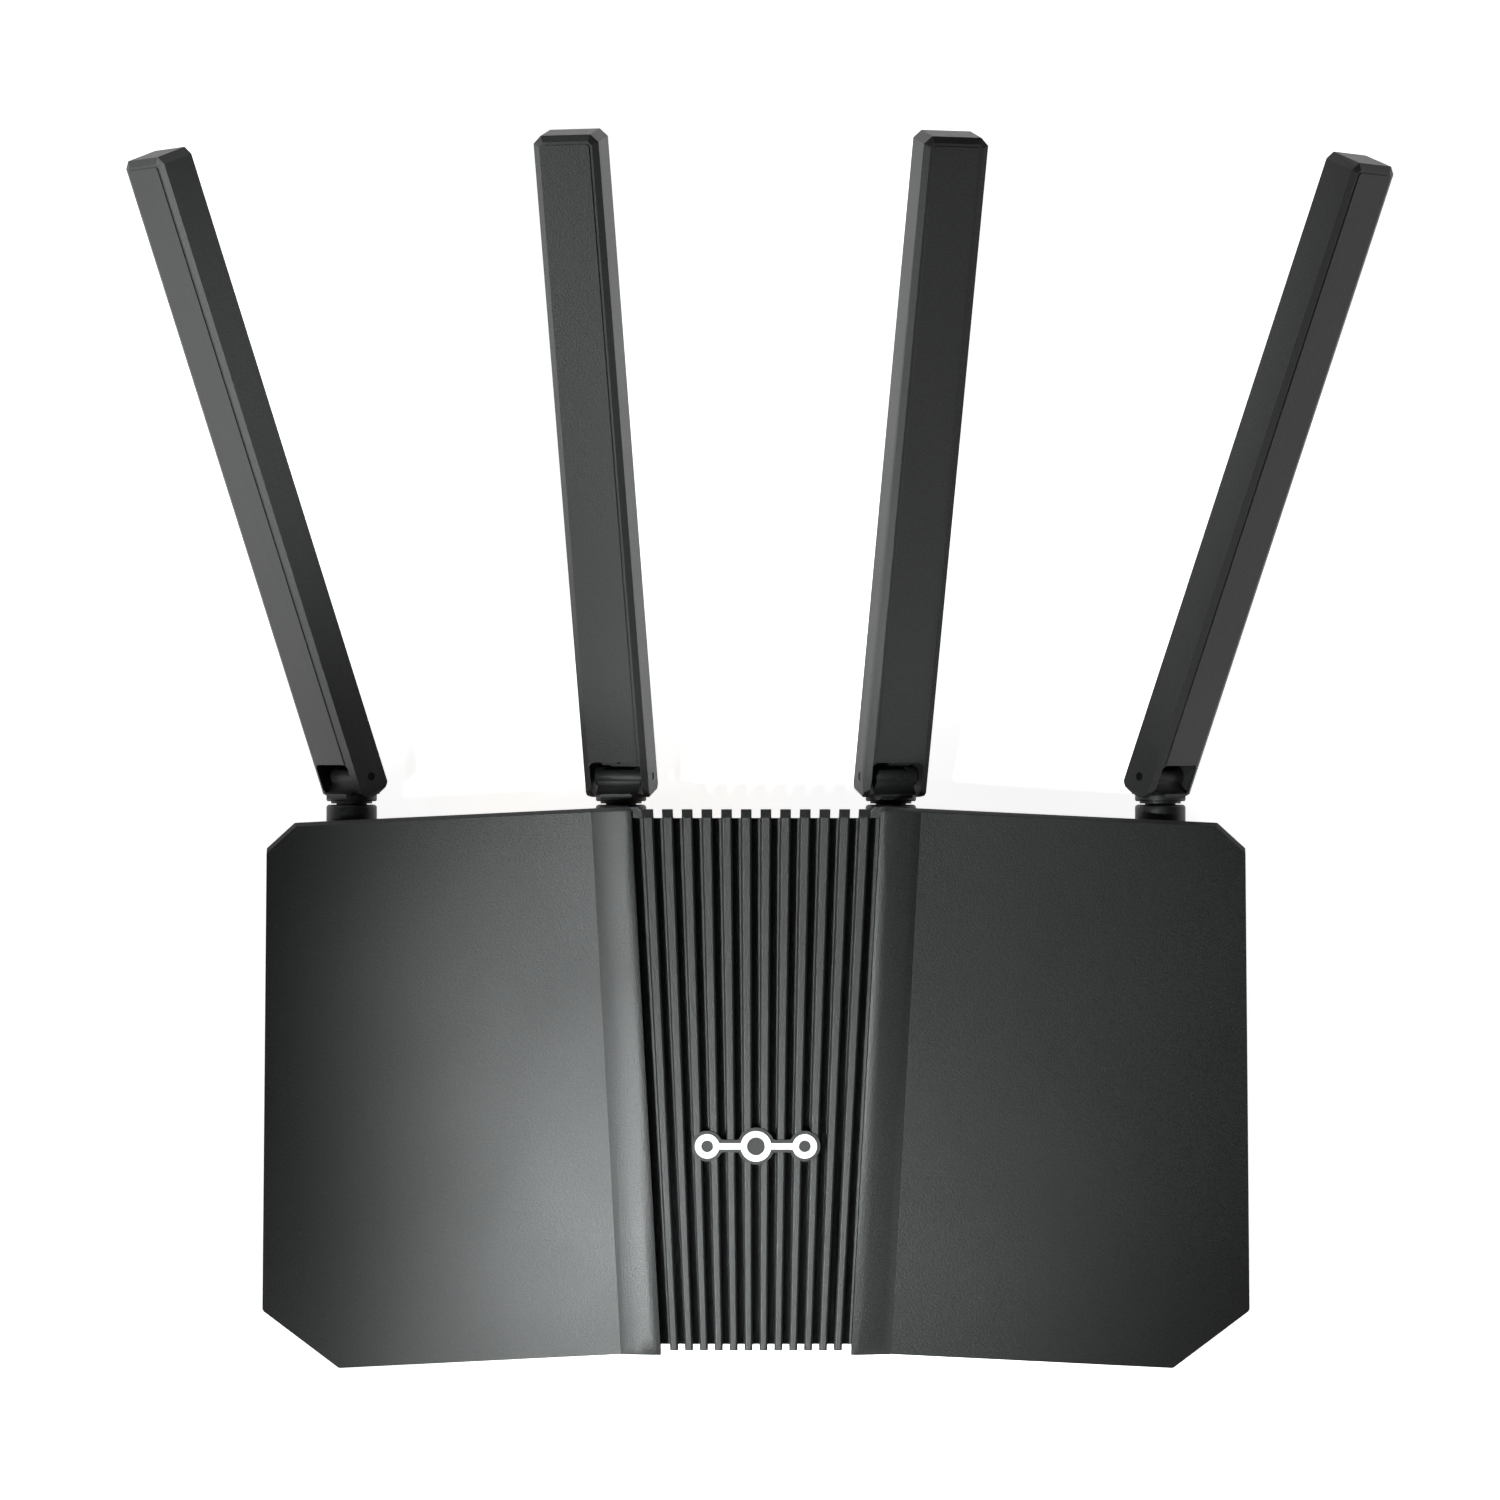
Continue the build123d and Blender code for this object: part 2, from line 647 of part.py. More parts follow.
with BuildPart() as light_pipe:
    with BuildSketch(Plane.XY.offset(led_top)):
        with Locations((0, depth(led_y))):
            Rectangle(5 * light_pitch + 2 * led_size[0], led_size[0])
    extrude(amount=light_z + light_size[1] / 2 - led_top)
    with BuildSketch(section(led_y)):
        with Locations([(x, light_z) for x in light_x]):
            Rectangle(*light_size)
    extrude(amount=pipe_reach)

for node, name in ((main_board, "main_board"), (board_screws, "board_screws"),
                   (processor_chips, "processor_chips"), (thermal_pads, "thermal_pads"),
                   (heat_sink, "heat_sink"), (radio_shields, "radio_shields"),
                   (status_lights, "status_lights"), (light_pipe, "light_pipe")):
    save(node.part, name)


# ------------------------------------------------------------------ antenna pieces, in their own frames
# Knuckle frame: x along the hinge pin, y to the rear along the swivel axis, z upright at no swivel.
# Blade frame: x along the hinge pin, y towards the tip, z out of the front face.
half_width, half_depth = blade_width / 2, blade_depth / 2
side_height = half_depth - chamfer_deep
side_view = Plane.YZ
boss_end, panel_from_hinge = boss_depth - hinge_depth, panel_face - hinge_depth
spigot_end = panel_from_hinge - 3.5
clip_thickness, clip_groove_radius, clip_radius = 1.0, 3.3, 5.6
clip_start = spigot_end - moving_gap
cable_radius = 1.5

with BuildPart() as socket_bush:
    with BuildSketch(Plane.XZ.offset(-panel_from_hinge)):
        Circle(boss_radius)
    extrude(amount=-(boss_end - panel_from_hinge))
    chamfer(socket_bush.faces().sort_by(Axis.Y)[-1].edges(), length=0.5)
    with BuildSketch(Plane.XZ.offset(-panel_from_hinge)):
        Circle(spigot_radius)
    extrude(amount=panel_from_hinge - spigot_end)
    with BuildSketch(Plane.XZ.offset(-boss_end)):
        Circle(stem_radius + running_gap)
    extrude(amount=boss_end - spigot_end, mode=Mode.SUBTRACT)

neck_front = boss_end + moving_gap
collar_front, collar_rear = -6.5, -4.6
saddle_half_width = barrel_length / 2 - 0.8
cable_notch = (8.0, 1.7)            # width, distance behind the hinge axis

with BuildPart() as knuckle:
    with BuildSketch(Plane.XZ.offset(-collar_front)):
        Circle(collar_radius)
    extrude(amount=-(collar_rear - collar_front))
    chamfer(knuckle.edges(), length=0.3)
    with BuildSketch(Plane.XZ.offset(-neck_front)):
        Circle(neck_radius)
    extrude(amount=-(collar_front - neck_front))
    with BuildSketch(Plane.XZ.offset(-neck_front)):
        Circle(stem_radius)
    extrude(amount=neck_front - clip_start + clip_thickness + 0.8)
    # saddle from the collar up to the barrel, hollowed on its upper side
    with BuildSketch(side_view):
        with BuildLine():
            scoop = ThreePointArc((collar_rear, 4.6), (-3.1, 2.5), (-1.2, 2.0))
            Polyline(scoop @ 1, (0, 0), (-0.6, -2.3), (collar_rear, -5.0), scoop @ 0)
        make_face()
    extrude(amount=saddle_half_width, both=True)
    with BuildSketch(side_view):
        Circle(barrel_radius)
    extrude(amount=barrel_length / 2, both=True)
    # flat on the collar, so that the blade can stand upright behind it
    with BuildSketch(side_view):
        with Locations((-half_depth - moving_gap, fork_height - moving_gap)):
            Rectangle(half_depth, headroom, align=(Align.MIN, Align.MIN))
    extrude(amount=20, both=True, mode=Mode.SUBTRACT)
    # notch in the barrel for the cable
    with BuildSketch(side_view):
        with Locations((cable_notch[1], 0)):
            Rectangle(barrel_radius, 2 * barrel_radius, align=(Align.MIN, Align.CENTER))
    extrude(amount=cable_notch[0] / 2, both=True, mode=Mode.SUBTRACT)
    with BuildSketch(side_view):
        Circle(pin_radius + running_gap)
    extrude(amount=20, both=True, mode=Mode.SUBTRACT)
    # groove for the clip, and the cable bore
    with BuildSketch(Plane.XZ.offset(-clip_start)):
        Circle(stem_radius + 1)
        Circle(clip_groove_radius, mode=Mode.SUBTRACT)
    extrude(amount=clip_thickness, mode=Mode.SUBTRACT)
    with BuildSketch(Plane.XZ.offset(-collar_rear)):
        Circle(cable_radius)
    extrude(amount=40, mode=Mode.SUBTRACT)

with BuildPart() as stem_clip:
    with BuildSketch(Plane.XZ.offset(-clip_start)):
        Circle(clip_radius)
        Circle(clip_groove_radius, mode=Mode.SUBTRACT)
    extrude(amount=clip_thickness)

with BuildPart() as hinge_pin:
    with BuildSketch(side_view):
        Circle(pin_radius)
    extrude(amount=half_width - 0.2, both=True)


def blade_outline(z, inset=0.0):
    """Plan of the blade from the ends of the fork to the bevelled tip."""
    with BuildSketch(Plane.XY.offset(z)) as face:
        with Locations((0, (blade_length - half_depth) / 2)):
            Rectangle(blade_width, blade_length + half_depth)
        chamfer(face.vertices().group_by(Axis.Y)[-1], length=tip_bevel)
        chamfer(face.vertices().group_by(Axis.Y)[0], length=ear_bevel)
        if inset:
            offset(amount=-inset, kind=Kind.INTERSECTION)
    return face.sketch


def fork_cut():
    """Gap for the knuckle, with bevelled inner corners and a thin wall behind the barrel."""
    below, wall_end = 12.0, -0.3
    with BuildPart() as cut:
        with BuildSketch(Plane.XY.offset(fork_back - half_depth)) as gap:
            with Locations((0, fork_height)):
                Rectangle(fork_width, fork_height + below, align=(Align.CENTER, Align.MAX))
            chamfer(gap.vertices().group_by(Axis.Y)[-1], length=1.0)
        extrude(amount=blade_depth)
        with BuildSketch(Plane.XY.offset(-half_depth - 1)):
            with Locations((0, wall_end)):
                Rectangle(fork_width, below, align=(Align.CENTER, Align.MAX))
        extrude(amount=fork_back + 2)
    return cut.part


def round_fork():
    """Side view of the whole blade, with the fork's ends round about the hinge axis."""
    with BuildPart() as keep:
        with BuildSketch(side_view):
            Circle(half_depth)
            with Locations((blade_length / 2 + 1, 0)):
                Rectangle(blade_length + 2, 2 * blade_depth)
        extrude(amount=blade_width, both=True)
    return keep.part


border_step, border_width = 0.25, 0.8
lip_depth, lip_gap, lip_wall = 1.6, 0.05, 1.2
cavity_start, cavity_end = fork_height + 1.6, blade_length - 1.8
cavity_floor = blade_wall - half_depth
peg_place, peg_radius, peg_length = (0.0, 1.4), 0.6, 1.4
radiator_size, radiator_start = (11.0, 130.0, 0.8), 5.0

with BuildPart() as cavity_rim:
    with BuildSketch(Plane.XY.offset(cavity_floor)):
        with Locations((0, (cavity_start + cavity_end) / 2)):
            Rectangle(blade_width - 2 * blade_wall, cavity_end - cavity_start)
    extrude(amount=blade_depth)

with BuildPart() as back_shell:
    extrude(blade_outline(-side_height), amount=2 * side_height)
    loft([blade_outline(-side_height), blade_outline(-half_depth, chamfer_in * 0.999)], ruled=True)
    add(cavity_rim.part, mode=Mode.SUBTRACT)
    add(fork_cut(), mode=Mode.SUBTRACT)
    add(round_fork(), mode=Mode.INTERSECT)
    with BuildSketch(side_view):
        Circle(pin_radius)
    extrude(amount=20, both=True, mode=Mode.SUBTRACT)
    # peg over the cable's notch
    with BuildSketch(Plane.XZ.offset(-fork_height)):
        with Locations(peg_place):
            Circle(peg_radius)
    extrude(amount=peg_length)

with BuildPart() as front_shell:
    loft([blade_outline(side_height), blade_outline(half_depth - border_step, chamfer_in)], ruled=True)
    extrude(blade_outline(half_depth - border_step, chamfer_in + border_width), amount=border_step)
    with BuildSketch(Plane.XY.offset(side_height)):
        with Locations((0, (cavity_start + cavity_end) / 2)):
            Rectangle(blade_width - 2 * blade_wall - 2 * lip_gap, cavity_end - cavity_start - 2 * lip_gap)
            Rectangle(blade_width - 2 * blade_wall - 2 * lip_wall, cavity_end - cavity_start - 2 * lip_wall,
                      mode=Mode.SUBTRACT)
    extrude(amount=-lip_depth)
    add(fork_cut(), mode=Mode.SUBTRACT)
    add(round_fork(), mode=Mode.INTERSECT)

with BuildPart() as radiator:
    with BuildSketch(Plane.XY.offset(cavity_floor)):
        with Locations((0, cavity_start + radiator_start)):
            Rectangle(*radiator_size[:2], align=(Align.CENTER, Align.MIN))
    extrude(amount=radiator_size[2])

for number, (x, swivel, fold) in enumerate(antennas, 1):
    lean, lift = radians(swivel), radians(fold)
    pin_axis = Vector(cos(lean), 0, -sin(lean))
    upright = Vector(sin(lean), 0, cos(lean))
    front = upright * cos(lift) - Vector(0, sin(lift), 0)
    socket_frame = Plane(origin=(x, hinge_y, hinge_z), x_dir=(1, 0, 0), z_dir=(0, 0, 1))
    knuckle_frame = Plane(origin=(x, hinge_y, hinge_z), x_dir=pin_axis, z_dir=upright)
    blade_frame = Plane(origin=(x, hinge_y, hinge_z), x_dir=pin_axis, z_dir=front)
    for piece, frame, name in ((socket_bush, socket_frame, "socket_bush"),
                               (knuckle, knuckle_frame, "knuckle"),
                               (stem_clip, knuckle_frame, "stem_clip"),
                               (hinge_pin, blade_frame, "hinge_pin"),
                               (back_shell, blade_frame, "back_shell"),
                               (front_shell, blade_frame, "front_shell"),
                               (radiator, blade_frame, "radiator")):
        with BuildPart() as placed:
            with Locations(frame.location):
                add(piece.part)
        save(placed.part, f"antenna_{number}_{name}")
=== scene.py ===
"""Looks of the wireless router: materials, small visible details, floor, light and camera."""
import json
from math import atan, radians, tan

import bmesh
import bpy
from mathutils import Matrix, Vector


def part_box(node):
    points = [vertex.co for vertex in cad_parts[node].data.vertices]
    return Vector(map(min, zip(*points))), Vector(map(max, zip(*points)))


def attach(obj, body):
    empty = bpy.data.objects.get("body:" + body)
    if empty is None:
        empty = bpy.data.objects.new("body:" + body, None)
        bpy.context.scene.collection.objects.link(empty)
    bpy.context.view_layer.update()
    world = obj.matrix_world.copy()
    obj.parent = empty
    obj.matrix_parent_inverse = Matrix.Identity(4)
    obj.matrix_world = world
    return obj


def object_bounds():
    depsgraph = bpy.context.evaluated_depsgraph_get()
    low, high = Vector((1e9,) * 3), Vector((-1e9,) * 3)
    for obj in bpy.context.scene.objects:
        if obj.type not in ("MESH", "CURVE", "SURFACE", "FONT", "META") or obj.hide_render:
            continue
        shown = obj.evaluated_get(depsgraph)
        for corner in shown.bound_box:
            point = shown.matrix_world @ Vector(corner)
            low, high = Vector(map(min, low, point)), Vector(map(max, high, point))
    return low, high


MM = 0.001

# surface detail
GRAIN_SIZE = 0.45 * MM
GRAIN_DEPTH = 0.15 * MM
SHEEN_PATCH = 35 * MM
FINE_SHEEN = 0.10                 # change of roughness with the grain
BROAD_SHEEN = 0.04                # change of roughness from patch to patch
METAL_GRAIN = 0.3 * MM
TRACE_CELL = 5 * MM

# soft moulded edges: their widths are in millimetres
WELD_GAP = 0.002 * MM
SHARPEST_SMOOTH = radians(28)     # an edge that turns by more gets a soft edge
NODE_EDGES = {
    "left_wing": 0.3,
    "right_wing": 0.3,
    "lower_shell": 0.3,
    "base_plate": 0.2,
    "rib_grille": 0.15,
    "port_panel": 0.15,
    "badge_plate": 0.12,
    "badge_emblem": 0.1,
}
ANTENNA_EDGES = {"back_shell": 0.25, "front_shell": 0.12, "knuckle": 0.15, "socket_bush": 0.15}

# spring wires inside the connectors
JACK_WIRES = 8
JACK_WIRE_PITCH = 1.02 * MM
JACK_WIRE_RADIUS = 0.17 * MM
JACK_ROOF = 2.4 * MM              # thickness of the housing above the mouth
JACK_WIRE_PROFILE = [(2.0, 0.45), (4.0, 0.6), (11.0, 2.9), (13.7, 3.2)]   # mm behind the face, below the roof
USB_STRIPS = (-3.5, -1.0, 1.0, 3.5)                                       # mm from the middle
USB_STRIP_STATIONS = (2.2, 7.0, 11.8)                                     # mm behind the face
USB_STRIP_RADIUS = 0.3 * MM
USB_STRIP_RISE = 0.35 * MM        # from the socket's middle

# camera: the picture's width is measured at a level between the covers and the floor
PICTURE_PLANE = 27 * MM
PICTURE_WIDTH = 390.2 * MM
PICTURE_LEFT = 1.56 * MM          # how far the picture's centre lies left of the object's middle
PICTURE_BACK = 14.65 * MM         # how far it lies behind the covers' rear edge
CAMERA_DISTANCE = 1.5
SENSOR = 36.0

# light
COVER_LEVEL = 35 * MM
BLADE_LEVEL = 60 * MM
SPOT_REACH = 1.2
SPOT_SOFTNESS = 0.03
PANEL_SIZE = (0.5, 0.4)
PANEL_AIM = (0, 0, 0.03)
SPOT_COLOUR = (0.95, 1.0, 0.99)
WORLD_LIGHT = 0.03
FLOOR_GLOW = 0.88
FLOOR_COLOUR = (0.85, 0.85, 0.85, 1)
FLOOR_HALF_WIDTH = 6.0


# ------------------------------------------------------------------ node helpers
def node(tree, kind, **properties):
    """A shader node with its properties set."""
    made = tree.nodes.new(kind)
    for key, value in properties.items():
        setattr(made, key, value)
    return made


def new_material(name):
    """Material with an unset Principled shader; returns it, its node tree and the shader."""
    material = bpy.data.materials.new(name)
    material.use_nodes = True
    tree = material.node_tree
    shader = tree.nodes["Principled BSDF"]
    return material, tree, shader


def object_noise(tree, grain_size, detail=2.0, roughness=0.5):
    """Noise in object space with features of the given size in metres."""
    place = node(tree, "ShaderNodeTexCoord")
    noise = node(tree, "ShaderNodeTexNoise")
    noise.inputs["Scale"].default_value = 1.0 / grain_size
    noise.inputs["Detail"].default_value = detail
    noise.inputs["Roughness"].default_value = roughness
    tree.links.new(place.outputs["Object"], noise.inputs["Vector"])
    return noise


def ramp(tree, source, low, high, dark, light):
    """Colour ramp from dark at low to light at high, fed by a noise output."""
    made = node(tree, "ShaderNodeValToRGB")
    made.color_ramp.elements[0].position = low
    made.color_ramp.elements[1].position = high
    made.color_ramp.elements[0].color = (*dark, 1)
    made.color_ramp.elements[1].color = (*light, 1)
    tree.links.new(source, made.inputs["Fac"])
    return made


def spread(tree, source, low, high):
    """Maps 0..1 to low..high."""
    made = node(tree, "ShaderNodeMapRange")
    made.inputs["To Min"].default_value = low
    made.inputs["To Max"].default_value = high
    tree.links.new(source, made.inputs["Value"])
    return made


def add_bump(tree, shader, height, strength, distance):
    """Bump of the given depth in metres, scaled by strength."""
    bump = node(tree, "ShaderNodeBump")
    bump.inputs["Strength"].default_value = strength
    bump.inputs["Distance"].default_value = distance
    tree.links.new(height, bump.inputs["Height"])
    tree.links.new(bump.outputs["Normal"], shader.inputs["Normal"])


# ------------------------------------------------------------------ materials
def textured_plastic(name, colour, rough, contrast=0.4, bump=0.6):
    """Moulded plastic with a fine spark-eroded grain and slight large-scale change in sheen."""
    material, tree, shader = new_material(name)
    fine = object_noise(tree, GRAIN_SIZE, detail=3.0, roughness=0.6)
    broad = object_noise(tree, SHEEN_PATCH)
    dark = tuple(c * (1 - contrast) for c in colour)
    light = tuple(c * (1 + contrast) for c in colour)
    tint = ramp(tree, fine.outputs["Fac"], 0.35, 0.65, dark, light)
    tree.links.new(tint.outputs["Color"], shader.inputs["Base Color"])
    fine_rough = spread(tree, fine.outputs["Fac"], rough - FINE_SHEEN, rough + FINE_SHEEN)
    broad_rough = spread(tree, broad.outputs["Fac"], -BROAD_SHEEN, BROAD_SHEEN)
    total = node(tree, "ShaderNodeMath", operation="ADD")
    tree.links.new(fine_rough.outputs["Result"], total.inputs[0])
    tree.links.new(broad_rough.outputs["Result"], total.inputs[1])
    tree.links.new(total.outputs["Value"], shader.inputs["Roughness"])
    add_bump(tree, shader, fine.outputs["Fac"], bump, GRAIN_DEPTH)
    return material


def metal(name, colour, rough):
    """Sheet or turned metal with a fine mottled finish."""
    material, tree, shader = new_material(name)
    fine = object_noise(tree, METAL_GRAIN, detail=4.0)
    dark = tuple(c * 0.85 for c in colour)
    tint = ramp(tree, fine.outputs["Fac"], 0.3, 0.7, dark, colour)
    tree.links.new(tint.outputs["Color"], shader.inputs["Base Color"])
    change = spread(tree, fine.outputs["Fac"], rough - 0.08, rough + 0.08)
    tree.links.new(change.outputs["Result"], shader.inputs["Roughness"])
    shader.inputs["Metallic"].default_value = 1.0
    add_bump(tree, shader, fine.outputs["Fac"], 0.1, 0.02 * MM)
    return material


def circuit_board(name, mask, trace):
    """Solder mask over copper: traces of another colour along the borders of a cell pattern."""
    material, tree, shader = new_material(name)
    place = node(tree, "ShaderNodeTexCoord")
    cells = node(tree, "ShaderNodeTexVoronoi", feature="DISTANCE_TO_EDGE")
    cells.inputs["Scale"].default_value = 1 / TRACE_CELL
    tree.links.new(place.outputs["Object"], cells.inputs["Vector"])
    tint = ramp(tree, cells.outputs["Distance"], 0.03, 0.08, trace, mask)
    tree.links.new(tint.outputs["Color"], shader.inputs["Base Color"])
    shader.inputs["Roughness"].default_value = 0.35
    add_bump(tree, shader, cells.outputs["Distance"], 0.2, 0.05 * MM)
    return material


def clear_plastic(name, colour):
    """Frosted see-through plastic of a light pipe."""
    material, tree, shader = new_material(name)
    fine = object_noise(tree, 1.5 * MM)
    change = spread(tree, fine.outputs["Fac"], 0.12, 0.25)
    tree.links.new(change.outputs["Result"], shader.inputs["Roughness"])
    shader.inputs["Base Color"].default_value = (*colour, 1)
    shader.inputs["Transmission Weight"].default_value = 0.6
    shader.inputs["IOR"].default_value = 1.49
    return material


def make_materials():
    """One material for each slot of the record."""
    return {
        "cover_plastic": textured_plastic("cover_plastic", (0.014, 0.0145, 0.0148), 0.43),
        "housing_plastic": textured_plastic("housing_plastic", (0.008, 0.008, 0.0085), 0.5),
        "grille_plastic": textured_plastic("grille_plastic", (0.016, 0.016, 0.0165), 0.45),
        "badge_backing": textured_plastic("badge_backing", (0.012, 0.012, 0.012), 0.35, bump=0.05),
        "badge_white": textured_plastic("badge_white", (0.78, 0.78, 0.78), 0.4, contrast=0.04, bump=0.05),
        "foot_rubber": textured_plastic("foot_rubber", (0.012, 0.012, 0.012), 0.8, contrast=0.2),
        "screw_steel": metal("screw_steel", (0.55, 0.55, 0.56), 0.35),
        "board_green": circuit_board("board_green", (0.01, 0.07, 0.03), (0.03, 0.16, 0.07)),
        "chip_black": textured_plastic("chip_black", (0.01, 0.01, 0.01), 0.6),
        "thermal_grey": textured_plastic("thermal_grey", (0.35, 0.35, 0.4), 0.8, contrast=0.1),
        "sink_aluminium": metal("sink_aluminium", (0.8, 0.8, 0.82), 0.4),
        "shield_steel": metal("shield_steel", (0.75, 0.75, 0.74), 0.3),
        "lamp_clear": clear_plastic("lamp_clear", (0.8, 0.83, 0.88)),
        "wan_blue": textured_plastic("wan_blue", (0.02, 0.09, 0.42), 0.4, contrast=0.08, bump=0.1),
        "lan_yellow": textured_plastic("lan_yellow", (0.75, 0.42, 0.02), 0.4, contrast=0.05, bump=0.1),
        "connector_black": textured_plastic("connector_black", (0.012, 0.012, 0.012), 0.4, bump=0.1),
        "button_plastic": textured_plastic("button_plastic", (0.014, 0.014, 0.014), 0.42, bump=0.15),
        "antenna_plastic": textured_plastic("antenna_plastic", (0.014, 0.014, 0.0145), 0.5),
        "clip_plastic": textured_plastic("clip_plastic", (0.6, 0.59, 0.56), 0.5, contrast=0.05),
        "antenna_board": circuit_board("antenna_board", (0.01, 0.08, 0.04), (0.6, 0.42, 0.15)),
        "pin_black": metal("pin_black", (0.03, 0.03, 0.03), 0.4),
    }


# ------------------------------------------------------------------ CAD nodes
def dress(thing, material, edge):
    """Gives a CAD node its material and, where edge is over 0, soft moulded edges of that width in metres."""
    thing.data.materials.clear()
    thing.data.materials.append(material)
    if not edge:
        return
    weld = thing.modifiers.new("weld", "WELD")
    weld.merge_threshold = WELD_GAP
    bevel = thing.modifiers.new("edges", "BEVEL")
    bevel.width = edge
    bevel.segments = 2
    bevel.limit_method = "ANGLE"
    bevel.angle_limit = SHARPEST_SMOOTH
    bevel.harden_normals = True


def edge_of(name):
    """Width of the moulded edge of a node, in metres."""
    for part, width in ANTENNA_EDGES.items():
        if name.startswith("antenna_") and name.endswith(part):
            return width * MM
    return NODE_EDGES.get(name, 0.0) * MM


# ------------------------------------------------------------------ spring wires inside the connectors
def wires(name, paths, radius, material):
    """One piece of bent round wires, riding on the housing."""
    curve = bpy.data.curves.new(name, "CURVE")
    curve.dimensions = "3D"
    curve.bevel_depth = radius
    curve.bevel_resolution = 2
    curve.use_fill_caps = True
    for path in paths:
        spline = curve.splines.new("POLY")
        spline.points.add(len(path) - 1)
        for point, place in zip(spline.points, path):
            point.co = (*place, 1)
    curve.materials.append(material)
    piece = bpy.data.objects.new(name, curve)
    bpy.context.scene.collection.objects.link(piece)
    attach(piece, "housing")


def jack_contacts(jack, material):
    """Wires that slope down from the roof of a network jack's mouth."""
    low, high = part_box(jack)
    roof = high.z - JACK_ROOF
    paths = []
    for i in range(JACK_WIRES):
        x = (low.x + high.x) / 2 + (i - (JACK_WIRES - 1) / 2) * JACK_WIRE_PITCH
        paths.append([(x, high.y - back * MM, roof - down * MM) for back, down in JACK_WIRE_PROFILE])
    wires(f"{jack}_contacts", paths, JACK_WIRE_RADIUS, material)


def usb_contacts(socket, material):
    """Four strips on the underside of the USB tongue."""
    low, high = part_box(socket)
    below_tongue = (low.z + high.z) / 2 + USB_STRIP_RISE
    paths = []
    for offset in USB_STRIPS:
        x = (low.x + high.x) / 2 + offset * MM
        paths.append([(x, high.y - back * MM, below_tongue) for back in USB_STRIP_STATIONS])
    wires(f"{socket}_contacts", paths, USB_STRIP_RADIUS, material)


# ------------------------------------------------------------------ floor, light, camera
def add_light(data, place, aim):
    """A light that shines from place towards aim and isn't itself seen."""
    thing = bpy.data.objects.new(data.name, data)
    bpy.context.scene.collection.objects.link(thing)
    thing.location = place
    thing.rotation_euler = (Vector(aim) - Vector(place)).to_track_quat("-Z", "Y").to_euler()
    thing.visible_camera = False


def panel_light(name, place, power):
    """Soft rectangular panel that faces the object."""
    light = bpy.data.lights.new(name, "AREA")
    light.shape = "RECTANGLE"
    light.size, light.size_y = PANEL_SIZE
    light.energy = power
    add_light(light, place, PANEL_AIM)


def pool_light(name, aim, left, front, radius, power):
    """Spot that lays a soft-edged pool round aim, tilted by degrees to the left and to the front."""
    light = bpy.data.lights.new(name, "SPOT")
    light.energy = power
    light.spot_size = 2 * atan(radius / SPOT_REACH)
    light.spot_blend = 1.0
    light.shadow_soft_size = SPOT_SOFTNESS
    light.color = SPOT_COLOUR
    towards = Vector((-tan(radians(left)), -tan(radians(front)), 1)).normalized()
    add_light(light, Vector(aim) + towards * SPOT_REACH, aim)


def make_world():
    """Weak even light from all round."""
    world = bpy.data.worlds.new("world")
    bpy.context.scene.world = world
    world.use_nodes = True
    background = world.node_tree.nodes["Background"]
    background.inputs["Color"].default_value = (1, 1, 1, 1)
    background.inputs["Strength"].default_value = WORLD_LIGHT


def make_lights():
    """Light from the upper left: a bright pool on the left wing's inner half, and fill from all sides."""
    panel_light("low_left_panel", (-1.0, -0.9, 0.3), 10)
    panel_light("right_panel", (0.9, -0.9, 1.0), 4)
    panel_light("rear_panel", (-0.4, 1.1, 0.5), 2)
    pool_light("rear_pool", (20 * MM, -60 * MM, COVER_LEVEL), 22, 8, 140 * MM, 52)
    pool_light("middle_pool", (0, -130 * MM, COVER_LEVEL), 22, 8, 100 * MM, 20)
    pool_light("front_pool", (-6 * MM, -172 * MM, COVER_LEVEL), 22, 8, 105 * MM, 40)
    pool_light("wide_pool", (-20 * MM, -170 * MM, COVER_LEVEL), 22, 8, 140 * MM, 12)
    pool_light("left_blade_pool", (-130 * MM, 100 * MM, BLADE_LEVEL), 62, 20, 120 * MM, 68)
    pool_light("inner_blade_pool", (60 * MM, 80 * MM, BLADE_LEVEL), 25, 35, 120 * MM, 25)
    pool_light("blade_side_pool", (-140 * MM, 90 * MM, BLADE_LEVEL), -62, 10, 90 * MM, 16)


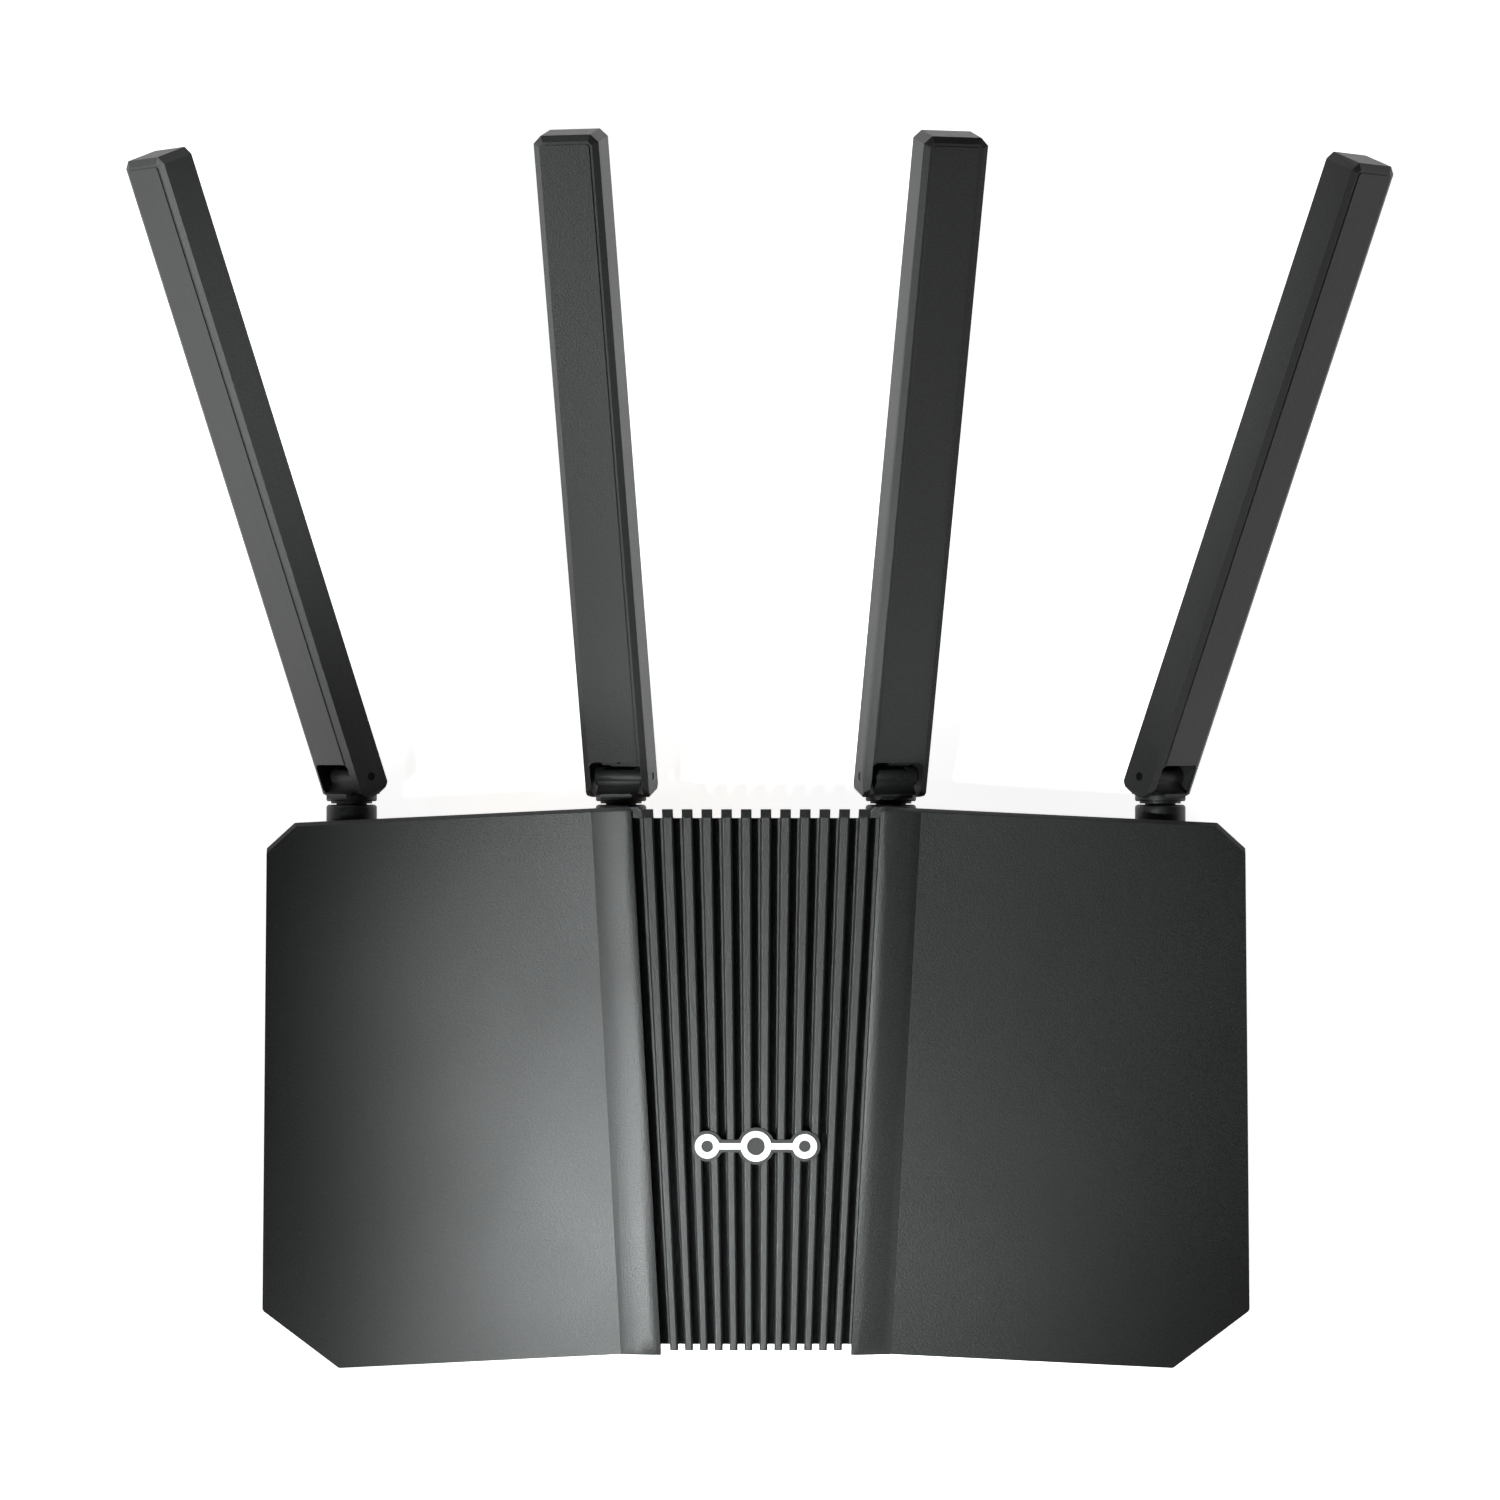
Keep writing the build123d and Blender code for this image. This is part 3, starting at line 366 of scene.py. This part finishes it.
def make_floor(level):
    """White floor that glows a little, so that shadows on it stay faint."""
    mesh = bpy.data.meshes.new("floor")
    build = bmesh.new()
    bmesh.ops.create_grid(build, x_segments=1, y_segments=1, size=FLOOR_HALF_WIDTH)
    build.to_mesh(mesh)
    build.free()
    floor = bpy.data.objects.new("floor", mesh)
    floor.location.z = level
    bpy.context.scene.collection.objects.link(floor)
    material, _, shader = new_material("floor_white")
    shader.inputs["Base Color"].default_value = FLOOR_COLOUR
    shader.inputs["Roughness"].default_value = 1.0
    shader.inputs["Specular IOR Level"].default_value = 0.0
    shader.inputs["Emission Color"].default_value = (1, 1, 1, 1)
    shader.inputs["Emission Strength"].default_value = FLOOR_GLOW
    floor.data.materials.append(material)


def make_camera(rear_edge):
    """Looks straight down; the picture is PICTURE_WIDTH wide at the height of PICTURE_PLANE."""
    camera = bpy.data.cameras.new("camera")
    camera.sensor_width = SENSOR
    camera.lens = SENSOR * CAMERA_DISTANCE / PICTURE_WIDTH
    camera.clip_end = 20.0
    thing = bpy.data.objects.new("camera", camera)
    bpy.context.scene.collection.objects.link(thing)
    thing.location = (-PICTURE_LEFT, rear_edge + PICTURE_BACK, PICTURE_PLANE + CAMERA_DISTANCE)
    bpy.context.scene.camera = thing


# ------------------------------------------------------------------ the scene
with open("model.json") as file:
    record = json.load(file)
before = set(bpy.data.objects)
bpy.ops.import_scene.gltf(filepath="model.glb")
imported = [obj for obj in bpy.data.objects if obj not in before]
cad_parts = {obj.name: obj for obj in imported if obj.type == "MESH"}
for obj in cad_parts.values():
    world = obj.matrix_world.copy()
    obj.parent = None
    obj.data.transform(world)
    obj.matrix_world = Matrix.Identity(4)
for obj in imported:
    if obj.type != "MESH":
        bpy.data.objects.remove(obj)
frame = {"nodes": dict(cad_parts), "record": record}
cad_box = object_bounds()

materials = make_materials()
slots = {s["node"]: s["material_slot"] for s in frame["record"]["subparts"]}
for name, thing in frame["nodes"].items():
    dress(thing, materials[slots[name]], edge_of(name))

gold = metal("contact_gold", (0.83, 0.62, 0.28), 0.3)
for name in frame["nodes"]:
    if "_jack" in name:
        jack_contacts(name, gold)
usb_contacts("usb_socket", gold)

make_floor(cad_box[0][2])
wing_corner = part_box("left_wing")[1]
make_camera(wing_corner.y)

make_world()
make_lights()

bpy.context.scene.view_settings.view_transform = "Standard"
